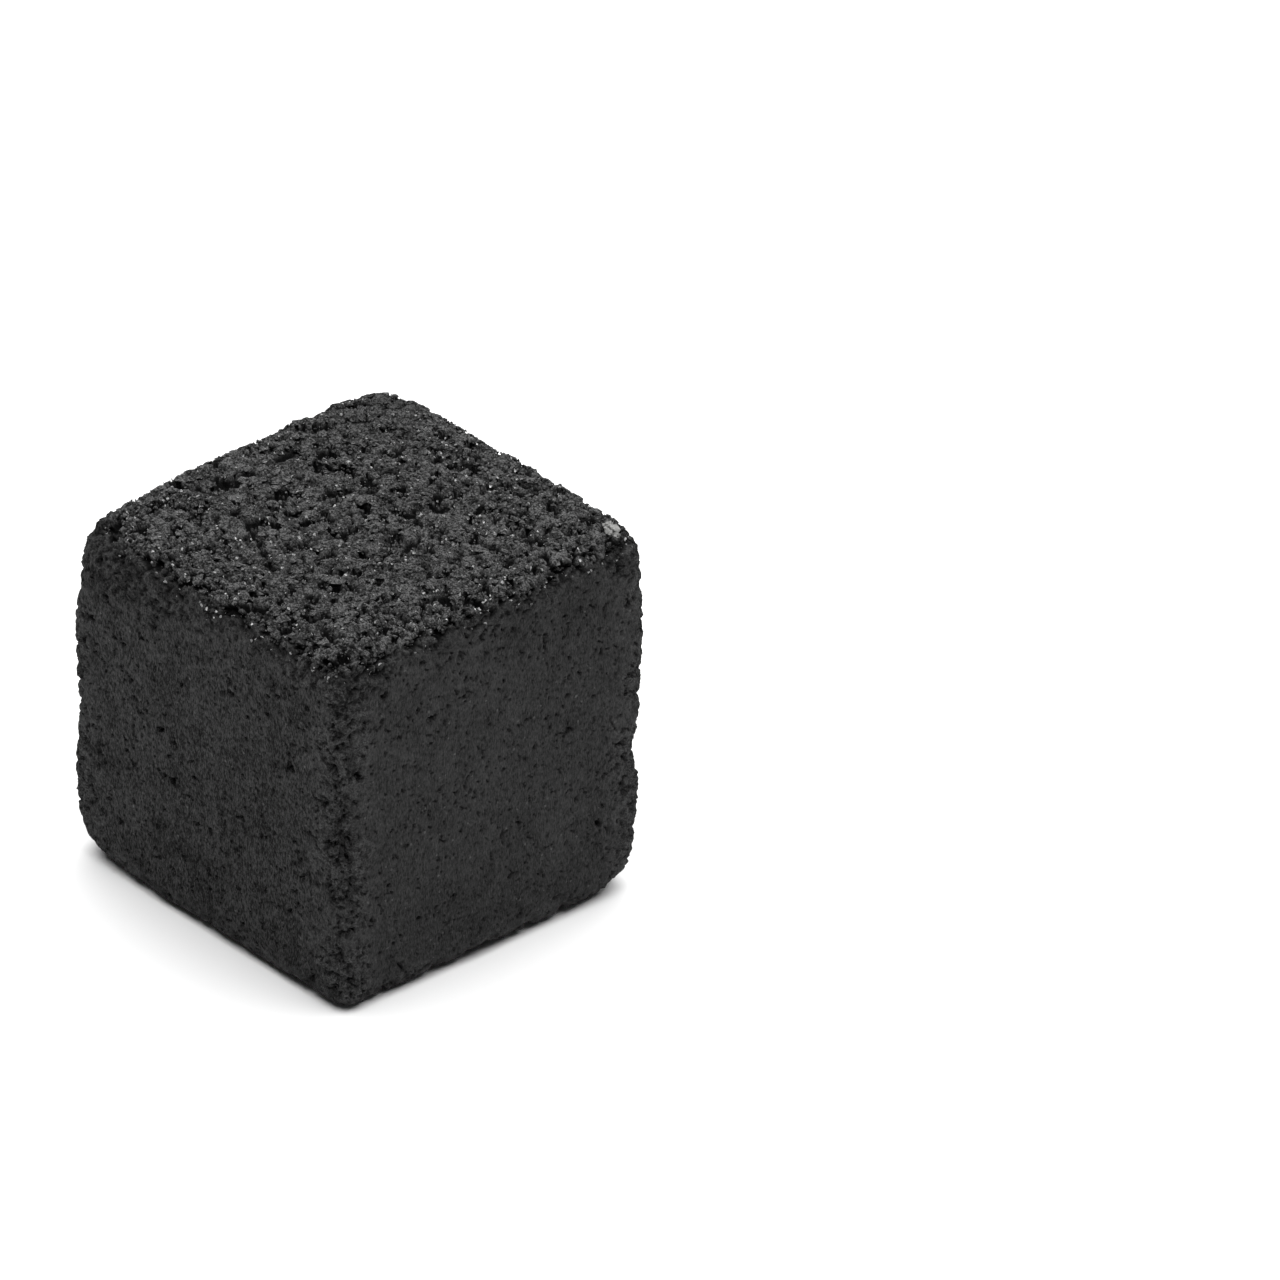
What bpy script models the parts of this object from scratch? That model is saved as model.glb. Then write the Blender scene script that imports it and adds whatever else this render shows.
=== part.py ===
"""Pressed charcoal cube: ground coconut-shell char and a little starch, pressed in a mould and dried.

One solid. It stands on its flat foot at z = 0, with the origin in the middle of the foot.
Metres, +Z up. Four faces stand upright, the top is the face that the punch left rough.
"""
import math

import bmesh
import bpy
from mathutils import Matrix, Vector, noise

MM = 0.001

# The block between its flats. Pressing leaves it slightly out of square.
FOOT_WIDTH = 25.44 * MM     # along X, at z = 0
FOOT_DEPTH = 23.76 * MM     # along Y, at z = 0
TOP_WIDTH = 24.80 * MM
TOP_DEPTH = 24.78 * MM
HEIGHT = 24.55 * MM         # in the middle of the top
TOP_RISE_X = 0.26 * MM      # how much higher the top is at its +X edge than in the middle
TOP_RISE_Y = 0.38 * MM      # the same, at its +Y edge

# Edges rounded by handling
UPRIGHT_RADIUS = 1.3 * MM
TOP_RADIUS = 1.6 * MM
FOOT_RADIUS = 1.6 * MM
RADIUS_CHANGE = 4.0 * MM    # height over which an upright edge takes on the radius of a flat one

# Corners rubbed rounder than the edges that meet there: (X side, Y side, Z side) to radius
WORN_CORNERS = {
    (-1, -1, 1): 3.0 * MM,
    (-1, -1, -1): 2.5 * MM,
    (1, 1, -1): 2.3 * MM,
    (1, 1, 1): 2.5 * MM,
    (-1, 1, -1): 2.8 * MM,
    (-1, 1, 1): 2.4 * MM,
}
CORNER_REACH = 2.4          # how far the rubbing runs from a corner, in that corner's radii

# Hollows and swells left by pressing: (how high, how far from crest to crest)
FACE_SWELL = (0.10 * MM, 7.0 * MM)
EDGE_CRUMBLE = (0.16 * MM, 2.6 * MM)
CRUMBLE_BAND = 3.0 * MM     # how far the crumbling runs in from an edge
FLAT_FOOT_FADE = 0.8 * MM   # height over which the unevenness dies out above the flat foot

# Bits broken out of the edges: (place in half-sizes of the block, half-lengths of the bit along
# X, Y and Z in mm, how deep it bites in mm). Two of a place's three numbers name the edge.
CHIPS = {
    "chip_back_right": ((1, 1, -0.24), (1.4, 1.4, 1.9), 0.75),
    "chip_back_right_foot": ((1, 1, -1), (1.9, 1.9, 1.3), 0.6),
    "chip_top_left": ((-1, 0.58, 1), (1.0, 0.5, 1.0), 0.5),
    "chip_top_left_corner": ((-1, -0.80, 1), (1.6, 2.6, 1.6), 0.35),
    "chip_top_back": ((0.28, 1, 1), (1.3, 1.0, 1.0), 0.35),
    "chip_top_front": ((-0.35, -1, 1), (1.6, 1.1, 1.1), 0.3),
    "chip_front_upper": ((1, -1, 0.68), (1.2, 1.2, 1.5), 0.4),
    "chip_front_lower": ((1, -1, -0.38), (1.1, 1.1, 1.6), 0.35),
    "chip_foot_right": ((1, -0.08, -1), (1.6, 3.6, 1.6), 0.35),
    "chip_foot_back": ((-0.33, 1, -1), (2.4, 1.2, 1.2), 0.45),
    "chip_back_left": ((-1, 1, 0.22), (1.2, 1.2, 2.1), 0.6),
}
CHIP_ROUGHNESS = 0.22       # share of its radius by which a chip's cutter is lumpy
CHIP_LUMPS = 1.3            # lumps per radius

GRID = 22                   # strips across each face
CROWDING = 0.3              # how much closer the strips lie near an edge, 0 for even ones
SHARP_ANGLE = math.radians(50)
CHAR_COLOUR = (0.036, 0.036, 0.036, 1.0)
CHAR_ROUGHNESS = 0.75


def clear_scene():
    for obj in list(bpy.data.objects):
        bpy.data.objects.remove(obj, do_unlink=True)


def char_material():
    material = bpy.data.materials.new("pressed_charcoal")
    material.use_nodes = True
    shader = material.node_tree.nodes["Principled BSDF"]
    shader.inputs["Base Color"].default_value = CHAR_COLOUR
    shader.inputs["Roughness"].default_value = CHAR_ROUGHNESS
    shader.inputs["Metallic"].default_value = 0.0
    return material


def smooth_step(value):
    share = min(max(value, 0.0), 1.0)
    return share * share * (3.0 - 2.0 * share)


def crowded(share):
    """Draws a place between -1 and 1 towards the nearer end."""
    return share * (1.0 + CROWDING * (1.0 - share * share))


def mix(first, second, share):
    return first + (second - first) * share


def local_radius(point, half):
    """Rounding at a point of the square block, whose middle is the origin here."""
    to_top = smooth_step((point.z - half.z + RADIUS_CHANGE) / RADIUS_CHANGE)
    to_foot = smooth_step((-point.z - half.z + RADIUS_CHANGE) / RADIUS_CHANGE)
    radius = mix(UPRIGHT_RADIUS, TOP_RADIUS, to_top)
    radius = mix(radius, FOOT_RADIUS, to_foot)
    for side, worn in WORN_CORNERS.items():
        corner = Vector([half[axis] * side[axis] for axis in range(3)])
        nearness = smooth_step(1.0 - (point - corner).length / (worn * CORNER_REACH))
        radius = mix(radius, max(radius, worn), nearness)
    return radius


def rounded(point, half):
    """Moves a point of the square block onto the block with rounded edges."""
    radius = local_radius(point, half)
    core = Vector([min(max(point[axis], radius - half[axis]), half[axis] - radius)
                   for axis in range(3)])
    outwards = point - core
    return core + outwards.normalized() * radius


def out_of_square(point, half):
    """Tapers the rounded block, tilts its top and stands it on z = 0."""
    share = (point.z + half.z) / (2.0 * half.z)
    width = mix(FOOT_WIDTH, TOP_WIDTH, share) / (2.0 * half.x)
    depth = mix(FOOT_DEPTH, TOP_DEPTH, share) / (2.0 * half.y)
    rise = TOP_RISE_X * point.x / half.x + TOP_RISE_Y * point.y / half.y
    return Vector((point.x * width, point.y * depth, point.z + half.z + rise * share))


def edge_nearness(point, half):
    """1 on an edge of the block, 0 in the middle of a face."""
    gaps = sorted(half[axis] - abs(point[axis]) for axis in range(3))
    return smooth_step(1.0 - gaps[1] / CRUMBLE_BAND)


def unevenness(point, half):
    """Distance by which pressing and handling left the surface in or out of true."""
    swell_height, swell_length = FACE_SWELL
    crumble_height, crumble_length = EDGE_CRUMBLE
    swell = noise.noise(point / swell_length) * swell_height
    crumble = noise.noise(point / crumble_length + Vector((5.0, 3.0, 1.0))) * crumble_height
    return swell + crumble * edge_nearness(point, half)


def make_block(half, material):
    bm = bmesh.new()
    bmesh.ops.create_cube(bm, size=2.0)
    bmesh.ops.subdivide_edges(bm, edges=bm.edges[:], cuts=GRID - 1, use_grid_fill=True)
    places = {}
    for vert in bm.verts:
        square = Vector([crowded(vert.co[axis]) * half[axis] for axis in range(3)])
        places[vert] = square
        vert.co = out_of_square(rounded(square, half), half)
    bm.normal_update()
    for vert in bm.verts:
        fade = smooth_step(vert.co.z / FLAT_FOOT_FADE)
        vert.co += vert.normal * unevenness(places[vert], half) * fade
    bmesh.ops.triangulate(bm, faces=bm.faces[:])
    mesh = bpy.data.meshes.new("charcoal_cube")
    bm.to_mesh(mesh)
    bm.free()
    mesh.materials.append(material)
    mesh.shade_smooth()
    mesh.set_sharp_from_angle(angle=SHARP_ANGLE)
    block = bpy.data.objects.new("charcoal_cube", mesh)
    bpy.context.collection.objects.link(block)
    return block


def chip_centre(place, reach, depth, half):
    """Where a bit's middle lies, for it to bite that deep into the rounded edge at that place."""
    square = Vector([place[axis] * half[axis] for axis in range(3)])
    on_edge = rounded(square, half)
    outwards = (square - on_edge).normalized()
    radius = sum(abs(outwards[axis]) * reach[axis] for axis in range(3)) / sum(map(abs, outwards))
    return out_of_square(on_edge, half) + outwards * (radius - depth)


def make_chip(name, centre, reach):
    """A lumpy egg that stands for a bit broken out of an edge."""
    bm = bmesh.new()
    bmesh.ops.create_icosphere(bm, subdivisions=2, radius=1.0)
    seed = centre / MM
    for vert in bm.verts:
        vert.co *= 1.0 + CHIP_ROUGHNESS * noise.noise(vert.co * CHIP_LUMPS + seed)
    bmesh.ops.transform(bm, matrix=Matrix.Diagonal(reach).to_4x4(), verts=bm.verts[:])
    mesh = bpy.data.meshes.new(name)
    bm.to_mesh(mesh)
    bm.free()
    chip = bpy.data.objects.new(name, mesh)
    chip.location = centre
    chip.hide_render = True
    chip.display_type = "WIRE"
    bpy.context.collection.objects.link(chip)
    return chip


def break_out(block, chip):
    cut = block.modifiers.new(chip.name, "BOOLEAN")
    cut.operation = "DIFFERENCE"
    cut.solver = "EXACT"
    cut.object = chip


def main():
    clear_scene()
    half = Vector((FOOT_WIDTH + TOP_WIDTH, FOOT_DEPTH + TOP_DEPTH, 2.0 * HEIGHT)) / 4.0
    block = make_block(half, char_material())
    for name, (place, size, depth) in CHIPS.items():
        reach = Vector(size) * MM
        centre = chip_centre(place, reach, depth * MM, half)
        break_out(block, make_chip(name, centre, reach))


main()
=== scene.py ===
import math
import random

import bmesh
import bpy
import numpy as np
from mathutils import Matrix, Vector


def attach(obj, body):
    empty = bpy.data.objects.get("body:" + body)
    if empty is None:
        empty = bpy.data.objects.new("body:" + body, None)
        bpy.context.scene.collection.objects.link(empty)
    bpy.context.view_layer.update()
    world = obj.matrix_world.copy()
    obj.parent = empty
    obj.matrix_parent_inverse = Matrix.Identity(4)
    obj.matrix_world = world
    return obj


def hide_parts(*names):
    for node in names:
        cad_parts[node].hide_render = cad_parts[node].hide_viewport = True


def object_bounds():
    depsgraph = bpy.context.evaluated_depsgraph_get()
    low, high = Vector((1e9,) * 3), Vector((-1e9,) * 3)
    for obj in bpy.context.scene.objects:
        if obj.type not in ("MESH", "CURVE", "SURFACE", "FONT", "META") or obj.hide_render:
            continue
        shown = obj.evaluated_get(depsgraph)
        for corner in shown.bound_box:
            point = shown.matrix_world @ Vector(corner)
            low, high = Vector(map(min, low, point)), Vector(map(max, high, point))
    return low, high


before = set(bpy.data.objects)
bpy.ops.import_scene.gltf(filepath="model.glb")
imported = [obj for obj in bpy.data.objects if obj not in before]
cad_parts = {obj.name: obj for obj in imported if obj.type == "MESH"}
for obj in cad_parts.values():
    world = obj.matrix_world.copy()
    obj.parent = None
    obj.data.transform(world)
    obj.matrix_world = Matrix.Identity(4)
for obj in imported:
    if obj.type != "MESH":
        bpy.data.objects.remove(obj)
cadLow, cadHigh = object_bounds()
nodeName = "charcoal_cube"
mm = 0.001


# Wiring for node trees: a Wire is one output socket, and sums on Wires add Math nodes.
class Wire:
    def __init__(self, graph, socket):
        self.graph = graph
        self.socket = socket

    def __add__(self, other):
        return self.graph.maths("ADD", self, other)

    def __radd__(self, other):
        return self.graph.maths("ADD", other, self)

    def __sub__(self, other):
        return self.graph.maths("SUBTRACT", self, other)

    def __rsub__(self, other):
        return self.graph.maths("SUBTRACT", other, self)

    def __mul__(self, other):
        return self.graph.maths("MULTIPLY", self, other)

    def __rmul__(self, other):
        return self.graph.maths("MULTIPLY", other, self)

    def __truediv__(self, other):
        return self.graph.maths("DIVIDE", self, other)

    def __rtruediv__(self, other):
        return self.graph.maths("DIVIDE", other, self)

    def __pow__(self, other):
        return self.graph.maths("POWER", self, other)

    # another output of the same node
    def other(self, output):
        return Wire(self.graph, self.socket.node.outputs[output])


class Graph:
    def __init__(self, tree):
        self.tree = tree

    # adds a node, sets its settings first, then fills its sockets by name or number
    def add(self, kind, settings=None, sockets=None, output=0):
        node = self.tree.nodes.new(kind)
        for name, value in (settings or {}).items():
            setattr(node, name, value)
        for name, value in (sockets or {}).items():
            self.join(value, node.inputs[name])
        return Wire(self, node.outputs[output])

    def join(self, value, socket):
        if isinstance(value, list):
            for one in value:
                self.join(one, socket)
        elif isinstance(value, Wire):
            self.tree.links.new(value.socket, socket)
        else:
            socket.default_value = value

    def maths(self, operation, *values):
        return self.add("ShaderNodeMath", {"operation": operation}, dict(enumerate(values)))

    def vector(self, operation, *values):
        settings = {"operation": operation}
        return self.add("ShaderNodeVectorMath", settings, dict(enumerate(values)))

    def stretch(self, vector, factors):
        return self.vector("MULTIPLY", vector, factors)

    # a vector made longer by one number, which may vary
    def scaled(self, vector, factor):
        return self.add("ShaderNodeVectorMath", {"operation": "SCALE"}, {0: vector, "Scale": factor})

    def smallest(self, first, second):
        return self.maths("MINIMUM", first, second)

    def largest(self, first, second):
        return self.maths("MAXIMUM", first, second)

    def size(self, value):
        return self.maths("ABSOLUTE", value)

    # smooth step from 0 at low to 1 at high; low may be above high
    def ramp(self, value, low, high):
        sockets = {"Value": value, "From Min": low, "From Max": high}
        return self.add("ShaderNodeMapRange", {"interpolation_type": "SMOOTHSTEP"}, sockets)

    # least where a mask is 0, rising to 1 where it is 1
    def fade(self, mask, least):
        return mask * (1.0 - least) + least

    # noise between 0 and 1 whose lumps are about size across
    def noise(self, vector, size, detail, roughness):
        sockets = {"Vector": vector, "Scale": 1.0 / size, "Detail": detail, "Roughness": roughness}
        return self.add("ShaderNodeTexNoise", {}, sockets)

    # noise that swings height up and down in all, with 0 in the middle
    def swing(self, vector, noise, height):
        return (self.noise(vector, *noise) - 0.5) * height

    # the place pushed about, so that cells on it lose their straight edges
    def warped(self, place, size, push):
        warp = self.add("ShaderNodeTexNoise", {}, {"Vector": place, "Scale": 1.0 / size}, "Color")
        return self.vector("ADD", place, self.stretch(warp, (push, push, push)))

    # distance from the middle of the nearest of cells about size across, in cell sizes
    def cells(self, vector, size, feature="F1", output="Distance"):
        sockets = {"Vector": vector, "Scale": 1.0 / size}
        return self.add("ShaderNodeTexVoronoi", {"feature": feature}, sockets, output)


cameraSet = {
    "azimuth": 47.42,       # degrees round from the front
    "elevation": 30.90,     # degrees above the floor
    "roll": 1.63,           # degrees
    "distance": 1.0,        # metres
    "lens": 468.0,
    "clip": (0.05, 100.0),      # nearest and furthest metres that it sees
    "aim": Vector((0.0, 0.0, 12.5 * mm)),   # the middle of the cube
    "sideways": 16.875 * mm,    # the cube stands left of the middle
    "upwards": 3.48 * mm,
}


def makeCamera():
    s = cameraSet
    turned, above = math.radians(s["azimuth"]), math.radians(s["elevation"])
    back = Vector((math.sin(turned) * math.cos(above), -math.cos(turned) * math.cos(above), math.sin(above)))
    right = Vector((math.cos(turned), math.sin(turned), 0.0))
    up = back.cross(right)
    turn = Matrix((right, up, back)).transposed().to_4x4()
    place = s["aim"] + right * s["sideways"] + up * s["upwards"] + back * s["distance"]
    camera = bpy.data.objects.new("camera", bpy.data.cameras.new("camera"))
    camera.data.lens = s["lens"]
    camera.data.clip_start, camera.data.clip_end = s["clip"]
    camera.matrix_world = Matrix.Translation(place) @ turn @ Matrix.Rotation(math.radians(s["roll"]), 4, "Z")
    bpy.context.scene.collection.objects.link(camera)
    bpy.context.scene.camera = camera
    print("camera placed")


floorSet = {"size": 40.0, "colour": (0.94, 0.94, 0.94, 1.0), "roughness": 0.9, "shine": 0.1}


def makeFloor():
    s = floorSet
    bm = bmesh.new()
    bmesh.ops.create_grid(bm, x_segments=1, y_segments=1, size=s["size"] / 2)
    mesh = bpy.data.meshes.new("floor")
    bm.to_mesh(mesh)
    bm.free()
    floor = bpy.data.objects.new("floor", mesh)
    bpy.context.scene.collection.objects.link(floor)
    material = bpy.data.materials.new("palePaper")
    material.use_nodes = True
    shader = material.node_tree.nodes["Principled BSDF"]
    shader.inputs["Base Color"].default_value = s["colour"]
    shader.inputs["Roughness"].default_value = s["roughness"]
    shader.inputs["Specular IOR Level"].default_value = s["shine"]
    mesh.materials.append(material)
    print("floor laid")


lightSet = {
    "sun": 5.6,             # strength
    "spread": 84.0,         # degrees across, like a wide soft box overhead
    "back": 8.0,            # degrees that the light leans back
    "sideways": 3.0,        # degrees that it leans to the right
    "room": 0.06,           # what the pale room adds from all round
    "backdrop": 1.1,        # how bright the room looks where the floor ends
    "white": (1.0, 1.0, 1.0, 1.0),
}


def makeLight():
    s = lightSet
    sun = bpy.data.objects.new("softBox", bpy.data.lights.new("softBox", "SUN"))
    sun.data.energy = s["sun"]
    sun.data.angle = math.radians(s["spread"])
    lean = Matrix.Rotation(math.radians(cameraSet["azimuth"]), 4, "Z")
    lean = lean @ Matrix.Rotation(math.radians(-s["back"]), 4, "X")
    lean = lean @ Matrix.Rotation(math.radians(s["sideways"]), 4, "Y")
    sun.matrix_world = lean
    bpy.context.scene.collection.objects.link(sun)
    world = bpy.data.worlds.new("room")
    world.use_nodes = True
    bpy.context.scene.world = world
    graph = Graph(world.node_tree)
    background = world.node_tree.nodes["Background"]
    seen = graph.add("ShaderNodeLightPath", output="Is Camera Ray")
    strength = seen * (s["backdrop"] - s["room"]) + s["room"]
    graph.join(strength, background.inputs["Strength"])
    background.inputs["Color"].default_value = s["white"]
    bpy.context.scene.view_settings.view_transform = "Standard"
    print("light hung")


# The pressed block, worked on in millimetres. Here and below, a noise is its size, detail and
# roughness, and a Range is the two values between which a mask goes from 0 to 1.
blockSet = {
    "merge": 1e-6,          # metres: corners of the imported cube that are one
    "height": 24.55,        # of the middle of the top
    "rise": (0.0208, 0.0304),   # how the top climbs along X and along Y
    "taper": 0.51,          # how much the foot draws in along Y
    "scrapedRange": (-1.5, 1.5),    # across the line between smooth and scraped sides
    "tongues": (1.7, 3.0, 0.6),     # where crumbled and pressed faces meet
    "tongueReach": 3.0,
    "topRange": (1.8, 1.0),         # how far below the top the crumbled face reaches
    "facingRange": (1.5, 0.2),      # how far below the top it still faces up
    "facingTongue": 0.5,
    "cornerRange": (3.6, 1.05),     # half-width of the crumbled band along an upright corner
    "footRange": (2.0, 0.7),        # height of the crumbled band round the foot
    "footWear": 0.8,
    "patches": (3.6, 2.0, 0.5),     # the stretches where the edges are worn more, then less
    "patchRange": (0.38, 0.56),
    "patchLeast": 0.3,
    "underRange": (3.6, 1.0),       # how far below the top the side is chipped
    "underWear": 0.85,
    "knock": (-8.0, -12.4, 23.0),   # where a knock has chipped the side further down
    "knockRange": (9.5, 3.0),
    "knockDepth": 2.2,
    "shoulderRange": (5.3, 3.7),    # how far the wear spreads from the four corners of the top
    "shoulderSlope": 0.6,
    "hollows": (0.95, 4.0, 0.62),   # open between the crumbs
    "hollowRange": (0.535, 0.570),
    "calm": (-11.0, 11.0, 24.0),    # where the top is packed tighter
    "calmRange": (9.0, 3.0),
    "calmFill": 0.07,
    "crevices": (1.5, 3.0, 0.6),
    "creviceRange": (0.042, 0.020),
    "breaks": (0.855, 2.0, 0.5),    # where a crevice stops and starts again
    "breakRange": (0.47, 0.53),
    "nick": (-11.8, 6.7, 23.9),     # a bit broken out of the rim
    "nickRange": (0.9, 0.5),
    "swells": (1.3, 3.0, 0.6),      # the lumps that the crumbs are packed into
    "swellStart": 0.49,
    "swellHeight": 1.8,
    "bulges": (0.9, 1.0, 0.5),      # round the rim
    "bulgeHeight": 0.9,
    "press": (0.35, 2.0, 0.5),      # what unevenness the punch leaves
    "pressHeight": 0.22,
    "pressDepth": 0.07,
    "nibbles": (1.0, 3.0, 0.6),     # the bites along the foot and the upright corners
    "nibbleRange": (0.49, 0.62),
    "nibbleEdge": (1.6, 0.4),       # how far from the edge they reach
    "nibbleDepth": 0.42,
}


# how far below the top, behind the side along X and along Y, and above the floor a place is
def depths(graph, place):
    x = graph.add("ShaderNodeSeparateXYZ", {}, {0: place}, "X")
    y, z = x.other("Y"), x.other("Z")
    riseX, riseY = blockSet["rise"]
    fromTop = blockSet["height"] + x * riseX + y * riseY - z
    reach = cadHigh / mm
    taper = (1.0 - z / reach.z) * blockSet["taper"]
    return fromTop, reach.x - graph.size(x), reach.y - graph.size(y) - taper, z


# 1 around a point, fading out between two distances from it
def around(graph, place, point, fadeRange):
    return graph.ramp(graph.vector("DISTANCE", place, point).other("Value"), *fadeRange)


# 0 on the smooth sides across X, 1 on the scraped sides across Y
def scraped(graph, place):
    x = graph.add("ShaderNodeSeparateXYZ", {}, {0: place}, "X")
    return graph.ramp(graph.size(x.other("Y")) - graph.size(x), *blockSet["scrapedRange"])


# how crumbled each place is, from 0 to 1: on the top, along the worn corners and the foot, and
# where it has chipped just below the top; then how much it faces up as the top does
def crumbled(graph, place):
    s = blockSet
    fromTop, fromX, fromY, z = depths(graph, place)
    tongue = graph.swing(place, s["tongues"], s["tongueReach"])
    corner, side = graph.largest(fromX, fromY), graph.smallest(fromX, fromY)
    top = graph.ramp(fromTop + tongue, *s["topRange"])
    upper = graph.ramp(fromTop + tongue * s["facingTongue"], *s["facingRange"])
    upright = graph.ramp(corner + tongue, *s["cornerRange"])
    foot = graph.ramp(graph.largest(side, z) + tongue, *s["footRange"]) * s["footWear"]
    patchy = graph.fade(graph.ramp(graph.noise(place, *s["patches"]), *s["patchRange"]), s["patchLeast"])
    worn = graph.largest(upright, foot) * patchy
    knocked = around(graph, place, s["knock"], s["knockRange"]) * s["knockDepth"]
    under = graph.ramp(fromTop + tongue - knocked, *s["underRange"]) * s["underWear"]
    shoulder = graph.ramp(corner * s["shoulderSlope"] + fromTop + tongue, *s["shoulderRange"])
    return top, worn, graph.largest(under, shoulder), upper


# 1 where a hollow or a crevice is open between the crumbs
def hollows(graph, place, widen=0.0):
    s = blockSet
    calm = around(graph, place, s["calm"], s["calmRange"]) * s["calmFill"] - widen
    hollow = graph.ramp(graph.noise(place, *s["hollows"]) - calm, *s["hollowRange"])
    line = graph.size(graph.swing(place, s["crevices"], 1.0))
    broken = graph.ramp(graph.noise(place, *s["breaks"]), *s["breakRange"])
    crevice = graph.ramp(line, *s["creviceRange"]) * broken
    return graph.largest(graph.largest(hollow, crevice), around(graph, place, s["nick"], s["nickRange"]))


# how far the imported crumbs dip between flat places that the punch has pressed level,
# and how they bulge round the rim, where it has not
def swells(graph, place, upper):
    s = blockSet
    dips = (graph.noise(place, *s["swells"]) - s["swellStart"]) * -s["swellHeight"]
    return graph.smallest(dips, 0.0) + graph.swing(place, s["bulges"], s["bulgeHeight"]) * (1.0 - upper)


# how far below the top the punch has pressed every crumb level
def pressLevel(graph, place, upper):
    s = blockSet
    return graph.swing(place, s["press"], s["pressHeight"]) + s["pressDepth"] - swells(graph, place, upper)


# how deep the bites along the foot and the upright corners are
def nibbles(graph, place):
    s = blockSet
    fromTop, fromX, fromY, z = depths(graph, place)
    edge = graph.smallest(graph.largest(fromX, fromY), graph.largest(graph.smallest(fromX, fromY), z))
    bite = graph.ramp(graph.noise(place, *s["nibbles"]), *s["nibbleRange"])
    return graph.ramp(edge, *s["nibbleEdge"]) * bite * s["nibbleDepth"]


# the place, lifted to the floor if it is below it
def onFloor(graph, place):
    leave = -100.0      # further out than any part of the cube, so that X and Y stay as they are
    return graph.vector("MAXIMUM", place, (leave, leave, 0.0))


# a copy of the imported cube, merged and in millimetres, for the shapes below to start from
def blockCopy(name):
    bm = bmesh.new()
    bm.from_mesh(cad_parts[nodeName].data)
    bmesh.ops.remove_doubles(bm, verts=bm.verts[:], dist=blockSet["merge"])
    bmesh.ops.scale(bm, vec=Vector((1, 1, 1)) / mm, verts=bm.verts[:])
    mesh = bpy.data.meshes.new(name)
    bm.to_mesh(mesh)
    bm.free()
    block = bpy.data.objects.new(name, mesh)
    bpy.context.scene.collection.objects.link(block)
    smooth = block.modifiers.new("smooth", "SUBSURF")
    smooth.levels = 1
    smooth.render_levels = 1
    return block


def applied(shape, name):
    bpy.context.view_layer.update()
    graph = bpy.context.evaluated_depsgraph_get()
    mesh = bpy.data.meshes.new_from_object(shape.evaluated_get(graph))
    old = shape.data
    shape.modifiers.clear()
    shape.data = mesh
    bpy.data.meshes.remove(old)
    mesh.name = name
    return mesh


# a Geometry Nodes tree with its graph, its incoming shape and the socket that ends it
def geometryTree(name):
    tree = bpy.data.node_groups.new(name, "GeometryNodeTree")
    tree.interface.new_socket("Geometry", in_out="INPUT", socket_type="NodeSocketGeometry")
    tree.interface.new_socket("Geometry", in_out="OUTPUT", socket_type="NodeSocketGeometry")
    graph = Graph(tree)
    shape = graph.add("NodeGroupInput")
    ending = tree.nodes.new("NodeGroupOutput")
    return tree, graph, shape, ending.inputs[0]


bodySet = {
    "voxel": 0.10,          # mesh size before it is thinned
    "smoothing": (0.5, 12),     # strength and rounds
    "triangles": 190000,
    "warp": (0.45, 0.28),       # size, and how far the rubble is pushed about
    "cobbles": (0.55, 0.72, 0.8, 0.17),     # size, reach, level and height
    "lumps": (0.24, 0.75, 0.7, 0.07),
    "sunk": 0.12,           # how far the block lies under the crumbs stuck to it
    "deep": 0.80,           # depth of the hollows
    "deepSides": 0.3,       # share of it that is left on the sides
    "skin": (0.22, 3.0, 0.6),       # the unevenness of the pressed sides
    "skinStretch": (1.0, 1.0, 0.5),
    "skinHeight": 0.03,
    "rubbleLift": 0.09,
    "rubbleShare": (1.0, 1.4),      # of the rubble on worn and on chipped places
    "pocks": (0.42, 3.0, 0.55),     # the small pits in the sides, thicker along the corners
    "pockRange": (0.63, 0.675),
    "pockShare": (0.072, 0.09),
    "pockDepth": 0.26,
    "pits": (1.0, 3.0, 0.6),        # the few larger pits
    "pitRange": (0.645, 0.685),
    "pitShare": (0.04, 0.02),       # more of them on worn and on scraped places
    "pitLess": 0.02,
    "pitDepth": 0.45,
    "cavityShare": (1.4, 1.0),      # how strongly depth is painted as shade on the sides and the top
}


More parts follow.
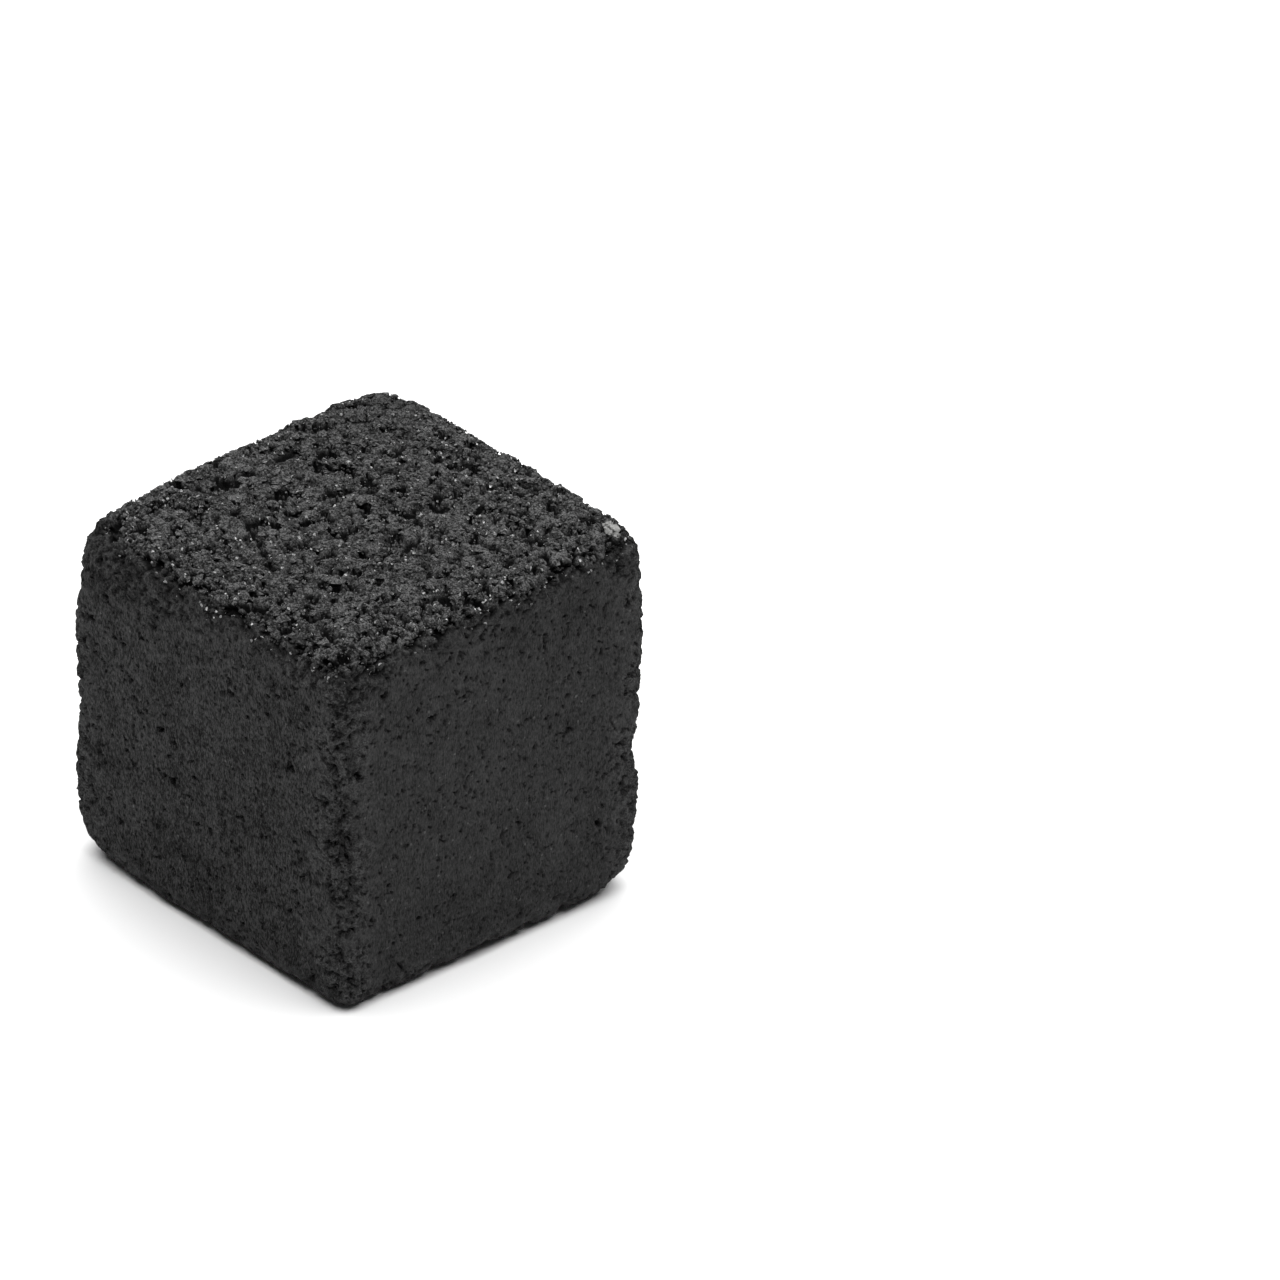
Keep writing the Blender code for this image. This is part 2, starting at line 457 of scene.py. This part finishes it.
def sculptTree():
    s = bodySet
    tree, graph, shape, ending = geometryTree("sculpt")
    place = graph.add("GeometryNodeInputPosition")
    normal = graph.add("GeometryNodeInputNormal")
    top, worn, chipped, upper = crumbled(graph, place)
    warped = graph.warped(place, *s["warp"])

    # a round dome over each cell, 1 high, that ends at reach from the cell's middle
    def domes(size, reach, level, height):
        share = graph.cells(warped, size) / reach
        return (graph.largest(1.0 - share * share, 0.0) ** 0.5 - level) * height

    # the larger of the worn and the chipped mask, each times its share
    def either(shares):
        return graph.largest(worn * shares[0], chipped * shares[1])

    rubble = domes(*s["cobbles"]) + domes(*s["lumps"])
    hole = hollows(graph, place) * (s["deep"] * graph.fade(upper, s["deepSides"]))
    packed = rubble + swells(graph, place, upper) - upper * s["sunk"]
    packed = graph.smallest(packed, 0.0 - pressLevel(graph, place, upper) * upper) - hole
    skin = graph.swing(graph.stretch(place, s["skinStretch"]), s["skin"], s["skinHeight"])
    pock = graph.noise(place, *s["pocks"]) + either(s["pockShare"])
    onWorn, onScraped = s["pitShare"]
    pit = graph.noise(place, *s["pits"]) + worn * onWorn + scraped(graph, place) * onScraped - s["pitLess"]
    pressed = skin + (rubble + s["rubbleLift"]) * either(s["rubbleShare"])
    pressed = pressed - graph.ramp(pock, *s["pockRange"]) * s["pockDepth"]
    pressed = pressed - graph.ramp(pit, *s["pitRange"]) * s["pitDepth"]
    height = pressed + (packed - pressed) * top
    # how deep each place lies, which the finish paints as shade, more strongly on the sides
    sideCavity, topCavity = s["cavityShare"]
    cavity = height * (upper * (sideCavity - topCavity) - sideCavity)
    shape = graph.add("GeometryNodeStoreNamedAttribute", {"data_type": "FLOAT", "domain": "POINT"},
                      {"Geometry": shape, "Name": "cavity", "Value": cavity})
    pushed = graph.vector("ADD", place, graph.scaled(normal, height - nibbles(graph, place)))
    sockets = {"Geometry": shape, "Position": onFloor(graph, pushed)}
    graph.join(graph.add("GeometryNodeSetPosition", {}, sockets), ending)
    return tree


def makeBody():
    s = bodySet
    body = blockCopy("charcoalCube")
    fine = body.modifiers.new("fine", "REMESH")
    fine.mode = "VOXEL"
    fine.voxel_size = s["voxel"]
    even = body.modifiers.new("even", "SMOOTH")
    even.factor, even.iterations = s["smoothing"]
    sculpt = body.modifiers.new("sculpt", "NODES")
    sculpt.node_group = sculptTree()
    mesh = applied(body, "charcoalCube")
    print("block sculpted:", len(mesh.polygons), "faces")
    thin = body.modifiers.new("thin", "DECIMATE")
    thin.ratio = s["triangles"] / (2 * len(mesh.polygons))
    thin.use_collapse_triangulate = True
    mesh = applied(body, "charcoalCube")
    mesh.transform(Matrix.Scale(mm, 4))
    mesh.shade_smooth()
    print("block thinned:", len(mesh.polygons), "triangles")
    return body


# the crumbs that the top and the worn corners are made of, each a small angular chip of char
crumbSet = {
    "shapes": 8,
    "corners": 15,
    "reach": (0.82, 1.0),   # of a corner from the middle, before a crumb has its size
    "girth": (0.6, 1.0),    # a crumb's width, as a share of its length
    "seed": 4,
}


def crumbShapes():
    s = crumbSet
    pick = random.Random(s["seed"])
    shapes = []
    for number in range(s["shapes"]):
        bm = bmesh.new()
        for corner in range(s["corners"]):
            way = Vector([pick.gauss(0.0, 1.0) for axis in range(3)]).normalized()
            bm.verts.new(way * pick.uniform(*s["reach"]))
        hull = bmesh.ops.convex_hull(bm, input=bm.verts[:])
        inside = [piece for piece in hull["geom_interior"] if isinstance(piece, bmesh.types.BMVert)]
        bmesh.ops.delete(bm, geom=inside, context="VERTS")
        bmesh.ops.recalc_face_normals(bm, faces=bm.faces[:])
        # each crumb's depth below its middle, so that its lower half is painted darker as shade
        depth = bm.verts.layers.float.new("cavity")
        for corner in bm.verts:
            corner[depth] = -corner.co.z
        mesh = bpy.data.meshes.new("crumb")
        bm.to_mesh(mesh)
        bm.free()
        shapes.append(bpy.data.objects.new("crumb", mesh))
    print("crumb shapes made:", len(shapes))
    return shapes


# Sizes in millimetres. gap is the least distance between two crumbs, dense how many a square
# millimetre takes, level how far a crumb's middle stands off the block, sink how much lower it
# lies off the top, clear how far the crumbs keep out of the hollows, worn their share on worn
# edges, and keep the range of masks at which one is kept.
scatterSet = {
    "flags": {"gap": 0.52, "dense": 12.0, "size": (0.30, 0.58), "flat": 0.36, "level": (-0.20, -0.10),
              "sink": 0.06, "lean": 0.16, "clear": 0.07, "worn": 0.0, "keep": (0.60, 0.90), "seed": 2},
    "crumbs": {"gap": 0.24, "dense": 38.0, "size": (0.12, 0.31), "flat": 0.55, "level": (-0.25, -0.10),
               "sink": 0.09, "lean": 0.40, "clear": 0.04, "worn": 0.45, "keep": (0.12, 0.50), "seed": 3},
    "grit": {"gap": 0.19, "dense": 70.0, "size": (0.05, 0.13), "flat": 0.8, "level": (-0.20, -0.08),
             "sink": 0.12, "lean": 0.8, "clear": 0.015, "worn": 0.5, "keep": (0.12, 0.70), "seed": 5},
}


def scatterTree(s, shapes):
    tree, graph, shape, ending = geometryTree("scatter")
    sockets = {"Mesh": shape, "Distance Min": s["gap"], "Density Max": s["dense"], "Seed": s["seed"]}
    points = graph.add("GeometryNodeDistributePointsOnFaces", {"distribute_method": "POISSON"}, sockets)
    facing, normal = points.other("Rotation"), points.other("Normal")
    place = graph.add("GeometryNodeInputPosition")

    # a number drawn for each crumb; draw keeps the draws apart
    def chance(low, high, draw):
        sockets = {2: low, 3: high, "Seed": s["seed"] * 10 + draw}
        return graph.add("FunctionNodeRandomValue", {"data_type": "FLOAT"}, sockets, 1)

    top, worn, chipped, upper = crumbled(graph, place)
    held = top if s["worn"] else upper
    held = graph.largest(held, graph.largest(worn, chipped) * s["worn"])
    keep = held * (1.0 - hollows(graph, place, s["clear"]))
    keep = graph.maths("GREATER_THAN", keep, chance(*s["keep"], 1))
    level = swells(graph, place, upper) * top + chance(*s["level"], 2) - (1.0 - upper) * s["sink"]
    offset = graph.scaled(normal, level - nibbles(graph, place))
    points = graph.add("GeometryNodeSetPosition", {}, {"Geometry": points, "Offset": offset})
    lean = s["lean"]
    turn = graph.add("FunctionNodeRandomValue", {"data_type": "FLOAT_VECTOR"},
                     {0: (-lean, -lean, -math.pi), 1: (lean, lean, math.pi), "Seed": s["seed"]}, 0)
    turn = graph.add("FunctionNodeEulerToRotation", {}, {0: turn})
    turn = graph.add("FunctionNodeRotateRotation", {"rotation_space": "LOCAL"}, {0: facing, 1: turn})
    wide = chance(*s["size"], 3)
    girth = {0: wide, 1: wide * chance(*crumbSet["girth"], 4), 2: wide * s["flat"]}
    girth = graph.add("ShaderNodeCombineXYZ", {}, girth)
    several = [graph.add("GeometryNodeObjectInfo", {}, {"Object": one, "As Instance": True}, "Geometry")
               for one in shapes]
    several = graph.add("GeometryNodeJoinGeometry", {}, {0: several})
    which = graph.add("FunctionNodeRandomValue", {"data_type": "INT"},
                      {4: 0, 5: len(shapes) - 1, "Seed": s["seed"]}, 2)
    crumbs = graph.add("GeometryNodeInstanceOnPoints", {},
                       {"Points": points, "Selection": keep, "Instance": several, "Pick Instance": True,
                        "Instance Index": which, "Rotation": turn, "Scale": girth})
    crumbs = graph.add("GeometryNodeRealizeInstances", {}, {"Geometry": crumbs})
    # what stands proud of the level that the punch has pressed is brought down to it
    proud = graph.largest(pressLevel(graph, place, upper) - depths(graph, place)[0], 0.0)
    lowered = graph.vector("SUBTRACT", place, graph.add("ShaderNodeCombineXYZ", {}, {2: proud}))
    sockets = {"Geometry": crumbs, "Position": onFloor(graph, lowered)}
    graph.join(graph.add("GeometryNodeSetPosition", {}, sockets), ending)
    return tree


def scatterCrumbs(name, s, shapes):
    crumbs = blockCopy(name)
    scatter = crumbs.modifiers.new("scatter", "NODES")
    scatter.node_group = scatterTree(s, shapes)
    mesh = applied(crumbs, name)
    mesh.transform(Matrix.Scale(mm, 4))
    print(name + ":", len(mesh.polygons), "triangles")
    return crumbs


mapSet = {
    "across": 3,            # the map's columns, one for each axis
    "down": 2,              # its rows, one for each end of the axis
    "fill": 0.47,           # half of a field's width that a side takes up
    "steepest": 0.5,        # stops points near the middle of the cube from flying off the map
}


# a cube map, for whoever paints or bakes the cube
def layOut(mesh):
    s = mapSet
    points = np.empty(len(mesh.vertices) * 3, np.float32)
    mesh.vertices.foreach_get("co", points)
    middle = np.array((cadLow + cadHigh) / 2)
    half = np.array((cadHigh - cadLow) / 2)
    points = (points.reshape(-1, 3) - middle) / half
    corners = np.empty(len(mesh.loops), np.int32)
    mesh.loops.foreach_get("vertex_index", corners)
    triangles = points[corners].reshape(-1, 3, 3)
    centres = triangles.mean(axis=1)
    axis = np.abs(centres).argmax(axis=1)
    side = (np.take_along_axis(centres, axis[:, None], 1)[:, 0] > 0).astype(int)
    rows = np.arange(len(triangles))
    depth = np.abs(triangles[rows, :, axis]).clip(s["steepest"])
    u = triangles[rows, :, (axis + 1) % 3] / depth * np.where(side, 1, -1)[:, None]
    v = triangles[rows, :, (axis + 2) % 3] / depth
    u = (axis[:, None] + 0.5 + u * s["fill"]) / s["across"]
    v = (side[:, None] + 0.5 + v * s["fill"]) / s["down"]
    mesh.uv_layers.new(name="OFBake")
    layer = mesh.uv_layers["OFBake"]
    layer.uv.foreach_set("vector", np.stack([u, v], -1).astype(np.float32).ravel())


# the finish: colours are dark and light ends of the mottling, sizes and heights in millimetres
charSet = {
    "pressedDark": (0.000, 0.000, 0.000, 1.0),
    "pressedLight": (0.056, 0.056, 0.056, 1.0),
    # the crumbs' ends are lighter than the pressed ends, partly their own colour and partly painted light
    # for the top lit from above
    "crumbDark": (0.024, 0.024, 0.024, 1.0),
    "crumbLight": (0.20, 0.20, 0.20, 1.0),
    # the painted shade in the cavities, in the cracks and under the crumbs
    "paintedShadeColour": (0.004, 0.004, 0.004, 1.0),
    "glint": (0.72, 0.72, 0.72, 1.0),
    "fleck": (0.42, 0.42, 0.41, 1.0),   # a speck of pale mineral in one corner of the top
    "roughness": 0.86,
    "glintSmoother": 0.5,
    "shine": 0.12,
    "pressedGrain": (0.10625, 3.0, 0.7),
    "pressedStretch": (1.0, 1.0, 0.42),     # the grain on the sides is drawn out upwards
    "thread": (0.085, 2.0, 0.6),            # a finer grain, drawn out further
    "threadStretch": (1.0, 1.0, 0.33),
    "crumbGrain": (0.1275, 4.0, 0.7),
    "mottle": (0.45, 3.0, 0.6),
    "broadMottle": (2.25, 1.0, 0.5),
    "mottleShare": 0.7,
    "contrast": (2.6, 2.3, 2.1),            # of grain, thread and mottle on the sides
    "pressedShade": 0.43,
    "smoothLeast": 0.5,     # share of that contrast that the smooth sides show
    # dark spots painted on the sides as the shade in small pits
    "paintedPinholes": (0.24, 2.0, 0.5),
    "pinholeRange": (0.63, 0.70),
    "pinholeShade": 0.7,
    "grainShare": 0.75,     # of grain, against mottle, on the crumbs
    "crumbRange": (0.41, 0.61),
    "calmShade": 0.2,
    "crumbTint": (0.33, 0.18),      # of the crumbs' lighter colour on worn and on chipped places, partly their own colour and partly painted light that offsets their shade
    # the depths over which painted shade goes from none to full
    "cavityRange": (0.10, 0.60),
    "chipWarp": (0.3, 0.35),
    "chip": 0.50,           # size of the chips that cracks outline
    "crackRange": (0.20, 0.06),
    "crackBreaks": (0.50, 2.0, 0.5),
    "crackBreakRange": (0.48, 0.56),
    "crackShare": (0.5, 0.6),       # of the cracks on worn places and on the top
    "crackShade": 0.75,
    "crackDepth": 0.05,
    "flakeAndPaintedGlint": 0.14,          # size of the facets that glint
    "flakeRange": (0.982, 0.987),
    # faint specks on the sides, painted lighter as glints
    "sidePaintedGlintRange": (0.995, 0.998),
    "sidePaintedGlint": 0.06,
    "fleckPlace": (10.9, 10.7, 25.1),
    "fleckFade": (1.2, 0.5),
    "fleckEdge": (0.30, 3.0, 0.6),
    "fleckRange": (0.98, 1.10),
    "roughSides": 0.8,      # how far worn and chipped places have the crumbs' relief
    "crumbRelief": 0.30,
    "pressedRelief": 0.17,
}


def charMaterial():
    s = charSet
    material = bpy.data.materials.new("pressedChar")
    material.use_nodes = True
    graph = Graph(material.node_tree)
    shader = material.node_tree.nodes["Principled BSDF"]

    def blend(factor, first, second):
        return graph.add("ShaderNodeMix", {"data_type": "RGBA"}, {"Factor": factor, 6: first, 7: second}, 2)

    # part of one value and the rest of another
    def share(part, first, second):
        return first * part + second * (1.0 - part)

    place = graph.stretch(graph.add("ShaderNodeTexCoord", output="Object"), (1 / mm, 1 / mm, 1 / mm))
    top, worn, chipped, upper = crumbled(graph, place)

    # the sides: grain, thread and mottle, stronger where they are scraped, and pinholes painted as dark
    # spots of shade
    worked = graph.fade(scraped(graph, place), s["smoothLeast"])
    pressedGrain = graph.noise(graph.stretch(place, s["pressedStretch"]), *s["pressedGrain"])
    thread = graph.noise(graph.stretch(place, s["threadStretch"]), *s["thread"])
    mottle = graph.noise(place, *s["mottle"])
    mottle = share(s["mottleShare"], mottle, graph.noise(place, *s["broadMottle"]))
    pressedShade = 0.0
    for pattern, contrast in zip((pressedGrain, thread, mottle), s["contrast"]):
        pressedShade = (pattern - 0.5) * contrast + pressedShade
    paintedPinholes = graph.ramp(graph.noise(place, *s["paintedPinholes"]), *s["pinholeRange"])
    pressedShade = (pressedShade * worked + s["pressedShade"]) * (1.0 - paintedPinholes * s["pinholeShade"])
    pressedColour = blend(pressedShade, s["pressedDark"], s["pressedLight"])

    # the crumbs, a little darker where the top is packed tighter; their palette is lighter than the sides',
    # partly as the crumbs' own colour and partly as painted light on the upward faces and worn edges
    crumbGrain = graph.noise(place, *s["crumbGrain"])
    calm = around(graph, place, blockSet["calm"], blockSet["calmRange"])
    crumbShade = graph.ramp(share(s["grainShare"], crumbGrain, mottle), *s["crumbRange"])
    crumbColour = blend(crumbShade * (1.0 - calm * s["calmShade"]), s["crumbDark"], s["crumbLight"])
    tintWorn, tintChipped = s["crumbTint"]
    # where it faces up and on worn and chipped places the crumbs' colour is used: partly their own colour,
    # partly painted light
    crumbsAndPaintedLight = graph.largest(upper, graph.largest(worn * tintWorn, chipped * tintChipped))
    colour = blend(crumbsAndPaintedLight, pressedColour, crumbColour)

    # painted shade in the cavities, by depth, and in the cracks round loose chips
    cavity = graph.add("ShaderNodeAttribute", {"attribute_name": "cavity"}, {}, "Fac")
    chips = graph.cells(graph.warped(place, *s["chipWarp"]), s["chip"], "DISTANCE_TO_EDGE")
    broken = graph.ramp(graph.noise(place, *s["crackBreaks"]), *s["crackBreakRange"])
    crackWorn, crackTop = s["crackShare"]
    cracked = graph.largest(graph.largest(worn * crackWorn, chipped), top * crackTop)
    crack = graph.ramp(chips, *s["crackRange"]) * broken * cracked
    dark = graph.largest(graph.ramp(cavity, *s["cavityRange"]), crack * s["crackShade"])
    colour = blend(dark, colour, s["paintedShadeColour"])

    # flakes that glint as metal on the top, faint specks on the sides painted lighter as glints, and the
    # mineral speck
    facets = graph.cells(place, s["flakeAndPaintedGlint"], output="Color")
    pick = graph.add("ShaderNodeSeparateColor", {}, {0: facets})
    flakeAndPaintedGlint = graph.ramp(pick, *s["flakeRange"]) * top
    flakeAndPaintedGlint = graph.largest(flakeAndPaintedGlint, graph.ramp(pick, *s["sidePaintedGlintRange"]) * s["sidePaintedGlint"])
    colour = blend(flakeAndPaintedGlint, colour, s["glint"])
    fleck = around(graph, place, s["fleckPlace"], s["fleckFade"]) + graph.noise(place, *s["fleckEdge"])
    colour = blend(graph.ramp(fleck, *s["fleckRange"]), colour, s["fleck"])

    # relief of the grain
    rough = graph.largest(top, graph.largest(worn, chipped) * s["roughSides"])
    pressedHeight = pressedGrain * worked * s["pressedRelief"]
    relief = pressedHeight + (crumbGrain * s["crumbRelief"] - pressedHeight) * rough
    relief = (relief - crack * s["crackDepth"]) * mm
    bump = graph.add("ShaderNodeBump", {}, {"Height": relief, "Strength": 1.0, "Distance": 1.0})

    graph.join(colour, shader.inputs["Base Color"])
    graph.join(flakeAndPaintedGlint, shader.inputs["Metallic"])
    graph.join(s["roughness"] - flakeAndPaintedGlint * s["glintSmoother"], shader.inputs["Roughness"])
    graph.join(bump, shader.inputs["Normal"])
    shader.inputs["Specular IOR Level"].default_value = s["shine"]
    print("finish made")
    return material


makeCamera()
makeFloor()
makeLight()
shapes = crumbShapes()
pieces = [makeBody()]
for name, setting in scatterSet.items():
    pieces.append(scatterCrumbs(name, setting, shapes))
for shape in shapes:
    bpy.data.objects.remove(shape)
finish = charMaterial()
for piece in pieces:
    layOut(piece.data)
    piece.data.materials.clear()
    piece.data.materials.append(finish)
    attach(piece, "root")
    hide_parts(nodeName)
print("pieces on the frame:", len(pieces))
